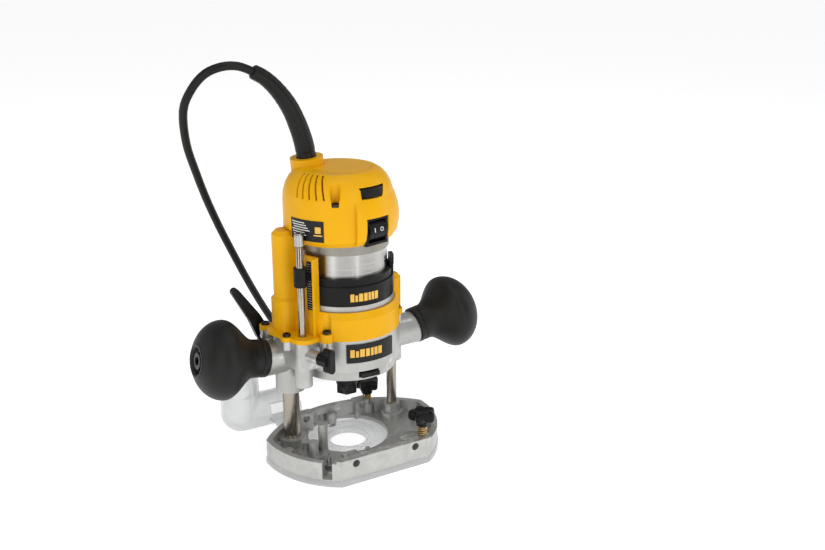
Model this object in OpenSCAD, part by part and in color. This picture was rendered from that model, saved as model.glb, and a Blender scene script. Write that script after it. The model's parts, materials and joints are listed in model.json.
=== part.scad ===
// Compact trim router: motor unit clamped in a two-column plunge base.
// Origin: spindle axis at the underside of the base. +Z up the spindle, +X to the right handle,
// -Y to the straight front edge. Shown partly plunged, 21 mm below the top of its travel.

/* [Base] */
// Radius of the round part of the base plate
base_r = 74.5; // [72:0.5:78]
// Distance from the spindle axis to the straight front edge
front_y = 67; // [64:0.5:70]
// Radius of the shallow curve along the rear edge
rear_r = 95; // [90:1:110]
// Thickness of the clear plate under the base
plate_t = 5; // [4:0.5:6]
// Height of the base casting's front wall
front_wall_h = 22; // [21:0.5:24]
// Radius of the guide bush seat in the clear plate
bush_seat_r = 15.1; // [14:0.1:16]
// Half the distance between the two edge guide rod holes
rod_hole_x = 27; // [25:0.5:29]
// Height of the edge guide rod holes
rod_hole_z = 17.5; // [16.5:0.5:18]
// Radius of the edge guide rod holes
rod_hole_r = 3.1; // [2.9:0.1:3.3]
// Inner radius of the dust hose port
port_r = 15; // [14.5:0.1:15.5]

/* [Columns] */
// Distance from the spindle axis to each column, across the tool
column_x = 47.5; // [47:0.5:48]
// Distance of the columns and handles behind the spindle axis
column_y = 8; // [6:0.5:9]
// Radius of the thick left column
left_column_r = 6.8; // [6.5:0.1:6.9]
// Radius of the thin right column
right_column_r = 4.3; // [4:0.1:5]
// Running clearance of columns, rods and shafts in their bores
running_gap = 0.05; // [0.03:0.01:0.08]

/* [Carriage] */
// Outer radius of the carriage casting around the motor
carriage_r = 44; // [43.5:0.5:45]
// Height where the casting ends and the yellow cover begins
cover_z = 109; // [108:0.5:110]
// Height of the top of the left column tower
tower_top_z = 193; // [185:1:196]
// Height of both handle axes
handle_z = 89; // [87:0.5:91]
// Largest radius of each ball handle
ball_r = 31.6; // [30:0.2:33]
// Upward tilt of each handle in degrees
handle_tilt = 10; // [4:1:12]

/* [Motor] */
// Radius of the motor's aluminium sleeve
sleeve_r = 34.5; // [34:0.1:34.5]
// Height of the underside of the motor cap
cap_z = 184; // [183:1:186]
// Height of the top of the motor cap
cap_top_z = 241; // [238:1:244]
// Radius of the motor cap
cap_r = 43.8; // [42:0.2:43.8]
// Radius of the collet's bore
collet_r = 4; // [3:0.5:4]

/* [Cord] */
// Diameter of the power cord
cord_d = 6.6; // [6:0.2:7]
// Number of layers in the stored coil of cord
coil_layers = 4; // [3:1:5]

/* [Hidden] */
$fn = 64;
eps = 0.01;

yellow = [0.98, 0.68, 0.05];
silver = [0.75, 0.76, 0.77];
steel = [0.62, 0.63, 0.65];
black = [0.07, 0.07, 0.08];
clear = [0.85, 0.9, 0.92, 0.4];
brass = [0.75, 0.6, 0.3];

left_column = [-column_x, column_y];
right_column = [column_x, column_y];
left_bush_r = left_column_r + 1.8;
right_bush_r = right_column_r + 1.8;
base_centre_y = -4;
rear_centre_y = -57;
casting_inset = 0.8;
wall_t = 5;
floor_t = 3.2;
column_foot_z = 6;
spring_z = 26;
column_top_z = 148;
right_column_top_z = 102;
tower_r = 10.4;
tower_base_r = 12.6;
tower_step_z = 140;
ring_sweep_r = 40.3;
rim_r = 39.5;
rim_z = 136.2;
wall_r = 42.6;
rod_lobe_z = 70.4;
rod_tip_z = 70.6;
turret_p = [-43.3, -24.95];
turret_post_r = 3.9;
turret_ring_r = 8;
rod_p = [turret_p[0] + turret_ring_r * cos(120), turret_p[1] + turret_ring_r * sin(120)];
rod_r = 3;
cap_p = [-3, 2];
knob_front_p = [38.5, -58];
knob_rear_p = [34.5, 29];
chute_y = 50;
chute_z = 24;
port_x = -76;
chute_screw_p = [-40, 25.4];
port_top_z = 72;
dial_p = [4, -26.3];
dial_z = 222;
dial_r = 14.8;
dial_post_r = 2.5;
switch_angle = -77;
switch_z = 196;
switch_half = 11;
rocker_pivot = -7.4;
rocker_rest = -10;
boot_route = [[-18.6, 22, 230], [-20, 22, 244.5], [-22.2, 22, 257], [-26.7, 22, 271], [-33, 22, 285],
              [-42, 22, 298], [-52, 22, 308], [-62, 22, 314]];
cord_route = [[-62.4, 22, 314.4], [-68, 22, 317], [-79, 23, 319], [-91, 26, 316.5], [-102, 32, 308.5],
              [-108, 40, 296], [-109, 49, 280], [-104, 59, 258], [-95, 68, 233], [-84, 77, 206],
              [-71, 86, 178], [-57, 94, 150], [-42, 102, 121], [-26, 109, 92], [-9, 115, 64.5],
              [10, 119.5, 40], [30, 122.5, 20], [46, 122.4, 9.5], [57.5, 120.6, 5.2]];
neck_r = 15.3;
ball_at = 36;
ball_half = 23.5;
bolt_grip = 10.5;
knob_lock_p = [-37, -43, 98];
cap_wall = 2.6;
cord_tower_r = 13.2;
bulge_from = -100;
bulge_to = -12;
// bosses, ribs and screws of the base
rod_boss_w = 13;
rib_t = 3;
plate_screw_r = 2;
plate_head_r = 4;
guide_screw_r = 2;
knob_spring_r = 4;
spring_front_z = plate_t + 17;
spring_rear_z = plate_t + 12.5;
star_front_z = 30.5;
star_rear_z = 25.5;
turret_z = 9.8;
turret_screw_r = 2.5;
chute_flange_z = 20.2;
chute_screw_r = 1.75;
// small screws in the cover, the chute and the cap
head_r = 3.2;
head_h = 2.2;
small_screw_r = 1.6;
cap_screw_z = 217;
cap_head_r = 3.8;
cap_groove_r = 4.2;
// motor clamp and motor heights
lever_pivot = [-57, 26, 98];
lever_bolt_r = 2.5;
clamp_bolt_r = 3;
clamp_y = 50;
clamp_z = 97;
clamp_lever_x = 12;
sleeve_bore_r = 32.4;
nose_z = 75;
nose_top_z = 81.5;
neck_z = 176.5;
button_z = 76.6;
ring_z = 136.6;
ring_step_z = 152;
ring_top_z = 158;
rod_top_z = 186;
fan_z = 82;
shaft_z = 59.4;
collet_z = 46.8;
collet_body_r = 6;
coil_p = [82, 163];
coil_r = 39.7;
coil_h = coil_layers * cord_d;
coil_half = cord_d;

// ---------- shared shapes ----------

module tube(outer, inner, z0, z1) {
  difference() {
    translate([0, 0, z0]) cylinder(r = outer, h = z1 - z0);
    translate([0, 0, z0 - 1]) cylinder(r = inner, h = z1 - z0 + 2);
  }
}

// part of a ring between two angles
module arc_bar(outer, inner, z0, z1, a0, a1) {
  rotate([0, 0, a0])
    rotate_extrude(angle = a1 - a0)
      translate([inner, z0]) square([outer - inner, z1 - z0]);
}

// pan head screw pointing down, its head standing on z = 0
module screw(head_r, head_h, shank_r, shank_l) {
  cylinder(r = head_r, h = head_h);
  translate([0, 0, -shank_l]) cylinder(r = shank_r, h = shank_l + eps);
}

module hex(across_flats, h) {
  cylinder(d = across_flats / cos(30), h = h, $fn = 6);
}

// rings of points round a route, joined into one closed skin
function unit(v) = v / norm(v);
function heading(route, i) = unit(route[min(i + 1, len(route) - 1)] - route[max(i - 1, 0)]);
function side_of(d) = unit(cross(d, [0, 1, 0]));
function ring(p, d, r, n) = let (u = side_of(d), v = cross(d, u))
  [for (k = [0:n - 1]) p + r * (cos(360 * k / n) * u + sin(360 * k / n) * v)];
module swept(route, radii, n) {
  m = len(route);
  points = [for (i = [0:m - 1]) each ring(route[i], heading(route, i), radii[i], n)];
  walls = [for (i = [0:m - 2]) for (k = [0:n - 1])
             [i * n + k, i * n + (k + 1) % n, (i + 1) * n + (k + 1) % n, (i + 1) * n + k]];
  start = [for (k = [n - 1:-1:0]) k];
  end = [for (k = [0:n - 1]) (m - 1) * n + k];
  polyhedron(points, concat(walls, [start, end]), convexity = 6);
}

// a smooth route through the given points, with steps points in each span
function smooth(p, steps) = let (n = len(p)) concat(
  [for (i = [0:n - 2]) for (s = [0:steps - 1])
     let (t = s / steps, a = p[max(i - 1, 0)], b = p[i], c = p[i + 1], d = p[min(i + 2, n - 1)])
     0.5 * (2 * b + (c - a) * t + (2 * a - 5 * b + 4 * c - d) * t * t + (3 * b - a - 3 * c + d) * t * t * t)],
  [p[n - 1]]);

// ---------- base ----------

module base_outline(inset) {
  intersection() {
    translate([0, base_centre_y]) circle(r = base_r - inset, $fn = 128);
    translate([0, rear_centre_y]) circle(r = rear_r - inset, $fn = 128);
    translate([-base_r, inset - front_y]) square([2 * base_r, 2 * base_r]);
  }
}

plate_screws = [[-61, -12], [61, -12], [0, 31]];

module plate_screw() {
  translate([0, 0, 1]) cylinder(r = plate_head_r, h = 2.2);
  translate([0, 0, 3]) cylinder(r = plate_screw_r, h = 9);
}

module sub_base_screws() {
  color(black)
    for (p = plate_screws)
      translate(p) plate_screw();
}

module sub_base() {
  color(clear)
    difference() {
      union() {
        linear_extrude(plate_t) base_outline(0);
        tube(26, 23.5, plate_t - eps, plate_t + 1.2);
      }
      translate([0, 0, -1]) cylinder(r = bush_seat_r, h = plate_t + 4);
      translate([0, 0, 3]) cylinder(r = bush_seat_r + 2.6, h = plate_t);
      for (p = plate_screws)
        translate([p[0], p[1], -1]) cylinder(r = plate_head_r, h = 4.2);
      for (p = plate_screws)
        translate([p[0], p[1], 0]) cylinder(r = plate_screw_r, h = plate_t + 4);
    }
}

// bosses that carry the edge guide rods, through the front and rear walls
module rod_bosses() {
  for (x = [-rod_hole_x, rod_hole_x]) {
    translate([x - rod_boss_w / 2, casting_inset - front_y, plate_t])
      cube([rod_boss_w, 14, front_wall_h - plate_t]);
    translate([x - rod_boss_w / 2, 24, plate_t]) cube([rod_boss_w, 9, 17]);
  }
}

module base_walls() {
  difference() {
    translate([0, 0, plate_t]) linear_extrude(15) base_outline(casting_inset);
    translate([0, 0, plate_t + floor_t]) linear_extrude(20) base_outline(casting_inset + wall_t);
  }
  // the straight front wall stands a little taller
  intersection() {
    translate([-43, casting_inset - front_y, plate_t]) cube([86, 6.5, front_wall_h - plate_t]);
    translate([0, 0, plate_t]) linear_extrude(20) base_outline(casting_inset);
  }
}

module base_casting() {
  color(silver)
    difference() {
      union() {
        difference() {
          base_walls();
          translate([0, 0, plate_t - 1]) cylinder(r = 34, h = 10);
        }
        rod_bosses();
        translate([left_column[0], left_column[1], plate_t]) cylinder(r = 11.6, h = 10);
        translate([right_column[0], right_column[1], plate_t]) cylinder(r = 9.5, h = 9);
        translate([right_column[0], right_column[1], plate_t]) cylinder(r = 7, h = 17);
        // pad under the depth turret
        intersection() {
          translate([turret_p[0], turret_p[1], plate_t]) cylinder(r = 11.5, h = 4.4);
          translate([0, 0, plate_t]) linear_extrude(10) base_outline(casting_inset);
        }
        lobe(knob_front_p, 5.5, plate_t, spring_front_z);
        lobe([knob_rear_p[0], knob_rear_p[1] - 2], 5.5, plate_t, spring_rear_z);
        for (p = plate_screws)
          translate([p[0], p[1], plate_t]) cylinder(r = 4.6, h = 9);
        // ribs between the bosses and the wall
        for (x = [-66, 52])
          translate([x, column_y - rib_t / 2, plate_t]) cube([14, rib_t, 8]);
        translate([36, -32, plate_t]) rotate([0, 0, -28]) cube([26, rib_t, 9]);
        translate([-4, -62, plate_t]) cube([rib_t, 24, 8]);
      }
      for (x = [-rod_hole_x, rod_hole_x])
        translate([x, -80, rod_hole_z]) rotate([-90, 0, 0]) cylinder(r = rod_hole_r, h = 140);
      translate([left_column[0], left_column[1], column_foot_z]) cylinder(r = left_column_r, h = 30);
      translate([right_column[0], right_column[1], column_foot_z]) cylinder(r = right_column_r, h = 30);
      for (p = plate_screws)
        translate([p[0], p[1], 0]) cylinder(r = plate_screw_r, h = 12);
      translate([turret_p[0], turret_p[1], 6]) cylinder(r = turret_screw_r, h = 10);
      translate([knob_front_p[0], knob_front_p[1], 9]) cylinder(r = guide_screw_r + running_gap, h = 20);
      translate([knob_rear_p[0], knob_rear_p[1], 9]) cylinder(r = guide_screw_r + running_gap, h = 20);
      translate([knob_rear_p[0], knob_rear_p[1], spring_rear_z]) cylinder(r = knob_spring_r + 0.2, h = 9);
      translate([chute_screw_p[0], chute_screw_p[1], 11]) cylinder(r = chute_screw_r, h = 20);
      // upright notch for the bolt at the front left
      translate([-46.5, -62, plate_t + 1]) rotate([0, 0, 45]) cube([9, 8, 20]);
    }
}

module base_notch_bolt() {
  color(steel)
    translate([-41, -46, plate_t + floor_t])
      union() {
        cylinder(r = 2, h = 9);
        hex(6.5, 4);
      }
}

module column_left() {
  color(steel)
    difference() {
      translate([left_column[0], left_column[1], column_foot_z])
        cylinder(r = left_column_r, h = column_top_z - column_foot_z);
      translate([left_column[0], left_column[1], spring_z]) cylinder(r = 5.1, h = 140);
    }
}

module column_right() {
  color(steel)
    translate([right_column[0], right_column[1], column_foot_z])
      cylinder(r = right_column_r, h = right_column_top_z - column_foot_z);
}

// five-lobed clamping knob with its screw, base of the hub at z = 0
module star_knob(screw_l) {
  translate([0, 0, 4.4]) cylinder(r = 7.4, h = 9.1);
  cylinder(r = 5, h = 6);
  for (a = [0:72:288])
    rotate([0, 0, a + 5]) translate([7.7, 0, 4.9]) cylinder(r = 4.2, h = 7.6);
  translate([0, 0, -screw_l]) cylinder(r = guide_screw_r, h = screw_l + 2);
}

module guide_knob_front() {
  color(black) translate([knob_front_p[0], knob_front_p[1], star_front_z]) star_knob(19);
}

module guide_knob_rear() {
  color(black) translate([knob_rear_p[0], knob_rear_p[1], star_rear_z]) star_knob(14);
}

module knob_spring_front() {
  color(brass)
    translate([knob_front_p[0], knob_front_p[1], 0])
      tube(knob_spring_r, 2.4, spring_front_z, star_front_z - 0.1);
}

module knob_spring_rear() {
  color(brass)
    translate([knob_rear_p[0], knob_rear_p[1], 0])
      tube(knob_spring_r, 2.4, spring_rear_z, star_rear_z - 0.1);
}

module turret() {
  color(silver)
    translate([turret_p[0], turret_p[1], turret_z])
      difference() {
        union() {
          cylinder(r = 12, h = 4);
          translate([turret_ring_r, 0, 0]) cylinder(r = turret_post_r, h = 27);
          rotate([0, 0, -120]) translate([turret_ring_r, 0, 0]) cylinder(r = turret_post_r, h = 17);
          rotate([0, 0, 120]) translate([turret_ring_r, 0, 0]) cylinder(r = turret_post_r, h = 11);
        }
        translate([0, 0, -1]) cylinder(r = turret_screw_r + running_gap, h = 10);
      }
}

module turret_pivot() {
  color(black)
    translate([turret_p[0], turret_p[1], 0])
      union() {
        translate([0, 0, 6]) cylinder(r = turret_screw_r, h = 9);
        translate([0, 0, 14.1]) cylinder(r = 3.5, h = 3.4);
      }
}

// clear duct behind the rear wall that turns up into a round hose port
module dust_chute() {
  color(clear)
    difference() {
      union() {
        translate([port_x, chute_y, chute_z]) rotate([0, 90, 0]) cylinder(r = 15, h = 50);
        translate([port_x, chute_y, chute_z + 2]) sphere(r = 16.5);
        translate([port_x, chute_y, chute_z + 2]) cylinder(r = 16.5, h = port_top_z - chute_z - 2);
        translate([port_x, chute_y, port_top_z - 7]) cylinder(r = 17.4, h = 7);
        translate([-56, 20, chute_flange_z]) cube([21.6, 26, 3]);
      }
      translate([port_x, chute_y, chute_z]) rotate([0, 90, 0]) cylinder(r = 13, h = 48);
      translate([port_x, chute_y, chute_z + 2]) sphere(r = 14.3);
      translate([port_x, chute_y, chute_z + 2]) cylinder(r = 14.3, h = 60);
      translate([port_x, chute_y, port_top_z - 28]) cylinder(r = port_r, h = 60);
      // mouth towards the cutter, over the rear wall
      translate([-54, 30, chute_flange_z + 3 + eps]) cube([24, 12, 9]);
      translate([chute_screw_p[0], chute_screw_p[1], 10]) cylinder(r = chute_screw_r + running_gap, h = 20);
    }
}

module dust_chute_screw() {
  color(steel)
    translate([chute_screw_p[0], chute_screw_p[1], chute_flange_z + 3])
      screw(head_r, head_h, chute_screw_r, 12);
}

// ---------- carriage ----------

module lobe(p, r, z0, z1) {
  translate([p[0], p[1], z0]) cylinder(r = r, h = z1 - z0);
}

module handle_axis(side) {
  translate([side * 69, column_y, handle_z]) rotate([0, side * (90 - handle_tilt), 0]) children();
}

module carriage_casting() {
  color(silver)
    difference() {
      union() {
        cylinder_between(carriage_r, 83, cover_z);
        cylinder_between(40, 74, 84);
        cylinder_between(rim_r, cover_z - 1, rim_z);
        lobe(left_column, 12, 58, cover_z);
        lobe(right_column, 8.6, 64, cover_z);
        lobe(rod_p, 7, rod_lobe_z, cover_z);
        // web that joins the left lobes to the body
        translate([0, 0, 86])
          linear_extrude(cover_z - 86)
            hull() {
              translate(left_column) circle(r = 12.5, $fn = 48);
              translate(rod_p) circle(r = 8, $fn = 48);
              translate([-20, 0]) circle(r = 24, $fn = 48);
            }
        translate([0, 0, 84])
          linear_extrude(cover_z - 84)
            hull() {
              translate(right_column) circle(r = 9.4, $fn = 48);
              translate([20, 0]) circle(r = 22, $fn = 48);
            }
        for (side = [-1, 1])
          translate([side * 36, column_y, handle_z - 1])
            rotate([0, side * 90, 0]) cylinder(r = 13.7, h = 38);
        // boss that carries the lever bolt
        translate([lever_pivot[0], 14, lever_pivot[2]]) rotate([-90, 0, 0]) cylinder(r = 6, h = 11.6);
        // boss for the depth lock knob and lugs for the cover screws
        depth_lock_axis() translate([0, 0, 9.4]) cylinder(r = 5, h = 14);
        for (p = [screw_left_rear, screw_left_front, screw_front, screw_right])
          lobe(p, 4.6, 102, cover_z);
        // ears of the motor clamp
        translate([-10, clamp_y - 12, clamp_z - 9]) cube([20, 18, 18]);
      }
      translate([0, 0, 60]) cylinder(r = sleeve_r, h = 90);
      lobe(left_column, left_bush_r, 50, 120);
      lobe(right_column, right_bush_r, 50, 120);
      lobe(rod_p, rod_r + running_gap, 50, 120);
      // clamp slit and the hole for the clamp bolt
      translate([-1.5, 30, 70]) cube([3, 40, 80]);
      translate([-20, clamp_y, clamp_z]) rotate([0, 90, 0]) cylinder(r = clamp_bolt_r, h = 40);
      // window for the spindle lock button
      translate([-9, -60, button_z - 0.6]) cube([18, 30, 5]);
      // seats for the depth lock knob, the lever bolt and the handles
      depth_lock_axis() translate([0, 0, 5]) cylinder(r = 2.6, h = 22);
      translate([lever_pivot[0], 15, lever_pivot[2]])
        rotate([-90, 0, 0]) cylinder(r = lever_bolt_r, h = 12);
      for (side = [-1, 1])
        handle_axis(side) {
          translate([0, 0, -bolt_grip]) cylinder(r = 4, h = 40);
          cylinder(r = 22, h = 20);
        }
    }
}

module cylinder_between(r, z0, z1) {
  translate([0, 0, z0]) cylinder(r = r, h = z1 - z0);
}

module bush_left() {
  color(brass)
    translate([left_column[0], left_column[1], 0])
      tube(left_bush_r, left_column_r + running_gap, 58.5, cover_z);
}

module bush_right() {
  color(brass)
    translate([right_column[0], right_column[1], 0])
      tube(right_bush_r, right_column_r + running_gap, 64.5, cover_z);
}

// closed sleeve standing for the coil spring inside the left column
module return_spring() {
  color(steel) translate([left_column[0], left_column[1], 0]) tube(4.6, 3.2, spring_z, tower_top_z - 4);
}

module tower(p, r, z0, z1) {
  translate([p[0], p[1], z0]) cylinder(r = r, h = z1 - z0 - 3);
  translate([p[0], p[1], z1 - 3 - eps]) cylinder(r1 = r, r2 = r - 3, h = 3);
}

screw_left_rear = [-62, 20];
screw_left_front = [-58, -12];
screw_front = [-32.5, -31];
screw_right = [46, -4];
left_lug_h = 3.6;
front_lug_h = 7;
right_lug_h = 5;

module column_cover() {
  color(yellow)
    difference() {
      union() {
        translate([0, 0, cover_z]) cylinder(r = carriage_r, h = 17.5);
        translate([0, 0, cover_z + 17.5 - eps]) cylinder(r1 = carriage_r, r2 = rim_r + 2, h = 5.3);
        tower(left_column, tower_r, cover_z, tower_top_z);
        tower(left_column, tower_base_r, cover_z, tower_step_z);
        tower(right_column, 8.2, cover_z, 141);
        // foot of the left tower, round the depth rod
        translate([0, 0, cover_z])
          linear_extrude(3.6)
            hull() {
              translate([left_column[0] - 2, left_column[1]]) circle(r = 15.5, $fn = 48);
              translate([rod_p[0] + 1, rod_p[1] - 1]) circle(r = 10.5, $fn = 48);
              translate([-24, 0]) circle(r = 26, $fn = 48);
            }
        lobe(screw_left_rear, 5, cover_z, cover_z + left_lug_h);
        lobe(screw_left_front, 5, cover_z, cover_z + left_lug_h);
        lobe(screw_front, 5, cover_z, cover_z + front_lug_h);
        lobe(screw_right, 5, cover_z, cover_z + right_lug_h);
        // curved wall behind the depth rod and the fin at its end
        arc_bar(wall_r, ring_sweep_r - 1.3, cover_z + 1, 176, 172, 211.5);
        arc_bar(47.5, ring_sweep_r - 1.7, cover_z + 1.2, 175.8, 211, 213.5);
      }
      translate([0, 0, rim_z - 60]) cylinder(r = rim_r, h = 60);
      translate([0, 0, cover_z + 22]) cylinder(r = ring_sweep_r, h = 100);
      lobe(left_column, left_column_r + 0.4, 100, tower_top_z - 4);
      lobe(right_column, right_column_r + 0.6, 100, 137);
      lobe(rod_p, rod_r + 0.35, 100, 120);
      translate([-1.5, 30, 100]) cube([3, 40, 80]);
      for (p = [screw_left_rear, screw_left_front, screw_front, screw_right])
        lobe(p, small_screw_r, cover_z - 1, 120);
      // ways down to the screws beside the rim
      lobe(screw_front, head_r + 0.4, cover_z + front_lug_h, 140);
      lobe(screw_right, head_r + 0.4, cover_z + right_lug_h, 140);
    }
}

module cover_screw(p, lug_h) {
  translate([p[0], p[1], cover_z + lug_h]) screw(head_r, head_h, small_screw_r, lug_h);
}

module cover_screws() {
  color(black)
    union() {
      cover_screw(screw_left_rear, left_lug_h);
      cover_screw(screw_left_front, left_lug_h);
      cover_screw(screw_front, front_lug_h);
      cover_screw(screw_right, right_lug_h);
    }
}

module depth_scale() {
  color(black) arc_bar(wall_r + 0.4, wall_r, cover_z + 23.5, 172, 200, 210);
}

module front_badge() {
  color(black) arc_bar(carriage_r + 1.2, carriage_r, 91, 106.5, -117, -62);
}

// ball handle as radius along its length: neck, flare, ball and a hollow in the end
function rise(t) = let (k = max(0, min(1, t))) k * k * (3 - 2 * k);
module handle_shape() {
  flare = [for (s = [0, 8, 12, 16, 20, 24, 28, 32])
             [neck_r + (ball_r - neck_r) * rise((s - 11) / (ball_at - 11)), s]];
  dome = [for (a = [0:13:65]) [ball_r * cos(a), ball_at + ball_half * sin(a)]];
  rotate_extrude()
    polygon(concat([[4.1, 0]], flare, dome,
                   [[12, ball_at + 22.5], [9.5, ball_at + 18], [4.1, ball_at + 18]]));
}

module handle_left() {
  color(black) handle_axis(-1) handle_shape();
}

module handle_right() {
  color(black) handle_axis(1) handle_shape();
}

module handle_bolt() {
  translate([0, 0, -bolt_grip]) cylinder(r = 4, h = ball_at + 18 + bolt_grip + eps);
  translate([0, 0, ball_at + 18]) cylinder(r = 7, h = 3);
}

module handle_bolt_left() {
  color(black) handle_axis(-1) handle_bolt();
}

module handle_bolt_right() {
  color(black) handle_axis(1) handle_bolt();
}

module plunge_lock_lever() {
  color(black)
    translate(lever_pivot)
      difference() {
        union() {
          rotate([-90, 0, 0]) cylinder(r = 8, h = 6.5);
          hull() {
            translate([-4, 0, 4]) rotate([-90, 0, 0]) cylinder(r = 6, h = 6.5, $fn = 32);
            translate([-11, 0, 19]) rotate([-90, 0, 0]) cylinder(r = 5, h = 6.5, $fn = 32);
          }
          hull() {
            translate([-11, 0, 19]) rotate([-90, 0, 0]) cylinder(r = 5, h = 6.5, $fn = 32);
            translate([-26, 0.5, 43]) rotate([-90, 0, 0]) cylinder(r = 3.2, h = 5.5, $fn = 32);
          }
        }
        translate([0, -5, 0]) rotate([-90, 0, 0]) cylinder(r = lever_bolt_r + running_gap, h = 20);
      }
}

module lever_bolt() {
  color(steel)
    translate([lever_pivot[0], 15, lever_pivot[2]]) rotate([-90, 0, 0])
      union() {
        cylinder(r = lever_bolt_r, h = 17.8);
        translate([0, 0, 17.8 - eps]) hex(9, 3.2);
      }
}

module clamp_lever() {
  color(black)
    difference() {
      union() {
        translate([clamp_lever_x, clamp_y, clamp_z]) rotate([0, 90, 0]) cylinder(r = 7, h = 7);
        hull() {
          translate([clamp_lever_x, clamp_y + 4, clamp_z])
            rotate([0, 90, 0]) cylinder(r = 4.5, h = 7, $fn = 32);
          translate([clamp_lever_x + 1, clamp_y + 10, clamp_z + 31])
            rotate([0, 90, 0]) cylinder(r = 3.5, h = 5, $fn = 32);
        }
      }
      translate([0, clamp_y, clamp_z]) rotate([0, 90, 0]) cylinder(r = clamp_bolt_r + running_gap, h = 30);
    }
}

module clamp_bolt() {
  color(steel)
    translate([-14, clamp_y, clamp_z]) rotate([0, 90, 0])
      union() {
        cylinder(r = clamp_bolt_r, h = 34);
        translate([0, 0, 33.4]) cylinder(r = 5, h = 3);
        hex(9, 4);
      }
}

// ---------- depth stop ----------

module depth_rod() {
  color(steel) translate([rod_p[0], rod_p[1], rod_tip_z]) cylinder(r = rod_r, h = rod_top_z - rod_tip_z);
}

module rod_knob() {
  color(silver)
    translate([rod_p[0], rod_p[1], rod_top_z + 0.3])
      union() {
        cylinder(r = 3.8, h = 9);
        cylinder(r = 3, h = 10);
      }
}

rod_angle = atan2(rod_p[1], rod_p[0]) + 360;
module rod_pointer() {
  color(black)
    difference() {
      union() {
        translate([rod_p[0], rod_p[1], 153.5]) cylinder(r = 5.2, h = 15.5);
        arc_bar(47.2, wall_r + 0.8, 158, 164, rod_angle, 208);
      }
      lobe(rod_p, rod_r + running_gap, 150, 175);
    }
}

module depth_lock_axis() {
  translate(knob_lock_p)
    rotate([0, 0, atan2(rod_p[1] - knob_lock_p[1], rod_p[0] - knob_lock_p[0])])
      rotate([0, 90, 0]) children();
}

module depth_lock_knob() {
  color(black)
    depth_lock_axis()
      union() {
        cylinder(r = 5.5, h = 9);
        hull() {
          translate([-7, 0, -4]) cylinder(r = 3, h = 8, $fn = 32);
          translate([7, 0, -4]) cylinder(r = 3, h = 8, $fn = 32);
        }
        cylinder(r = 2.55, h = 23.6);
      }
}

// ---------- motor ----------

module motor_sleeve() {
  color(silver)
    difference() {
      tube(sleeve_r, sleeve_bore_r, nose_z, neck_z);
      translate([-8.4, -60, button_z - 0.3]) cube([16.8, 40, 4.4]);
    }
}

module motor_nose() {
  color(silver)
    difference() {
      translate([0, 0, nose_z]) cylinder(r = sleeve_bore_r, h = nose_top_z - nose_z);
      translate([0, 0, 60]) cylinder(r = 9.4, h = 30);
      translate([-8.4, -40, button_z - 0.3]) cube([16.8, 12, 4.4]);
    }
}

module neck_ring() {
  color([0.45, 0.46, 0.47]) tube(36.2, sleeve_bore_r, neck_z, cap_z);
}

tab_angles = [-25, 95];
tab_half = 12;
module adjusting_ring() {
  color(black)
    difference() {
      union() {
        tube(39.6, sleeve_r + 0.3, ring_z, ring_step_z);
        tube(38.4, sleeve_r + 0.3, ring_step_z - eps, ring_top_z);
      }
      for (a = tab_angles)
        arc_bar(45, 30, 140, 160, a - tab_half - 1, a + tab_half + 1);
    }
}

module ring_tab(a) {
  color(black)
    union() {
      arc_bar(39.6, 36.6, 140.6, 166, a - tab_half, a + tab_half);
      arc_bar(39.9, 36.6, 160, 166, a - tab_half, a + tab_half);
    }
}

module ring_tab_front() {
  ring_tab(tab_angles[0]);
}

module ring_tab_rear() {
  ring_tab(tab_angles[1]);
}

module cord_axis() {
  translate([-16.5, 22, 208]) rotate([0, -5.5, 0]) children();
}

cap_h = cap_top_z - cap_z;
panel_z = cap_top_z - 3.8;
// half section of the cap, drawn smaller by the wall's thickness for its cavity
module cap_profile(shrink) {
  roof = cap_h - 1 - 2 * shrink;
  shoulder = [for (a = [0:15:75])
                [cap_r - 18 + 18 * cos(a) - shrink, min(roof, cap_h - 26 + 24.5 * sin(a) - shrink / 2)]];
  polygon(concat([[0, shrink], [cap_r - 5 - shrink, shrink], [cap_r - shrink, 5 + shrink / 2]],
                 shoulder, [[0, roof]]));
}

module cap_solid() {
  translate([cap_p[0], cap_p[1], cap_z]) rotate_extrude($fn = 96) cap_profile(0);
  // bulged panel round the switch
  translate([cap_p[0], cap_p[1], cap_z])
    rotate([0, 0, bulge_from])
      rotate_extrude(angle = bulge_to - bulge_from)
        polygon([[36, 2], [cap_r, 2], [cap_r + 2.6, 6], [cap_r + 4, 13], [cap_r + 4.2, 20],
                 [cap_r + 3.2, 27], [cap_r + 0.6, 35], [cap_r - 4, 42], [36, 44]]);
  // tower where the cord enters
  cord_axis() cylinder(r = cord_tower_r, h = 37);
}

module vent_slot(a) {
  translate([cap_p[0], cap_p[1], 0])
    rotate([0, 0, a]) translate([36, 0, 230]) rotate([14, 0, 0]) cube([16, 1.5, 17], center = true);
}

cap_screw_at = [240, 60];
module at_cap_screw(a) {
  translate([cap_p[0], cap_p[1], 0]) rotate([0, 0, a]) translate([cap_r - 3.6, 0, 0]) children();
}

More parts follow.
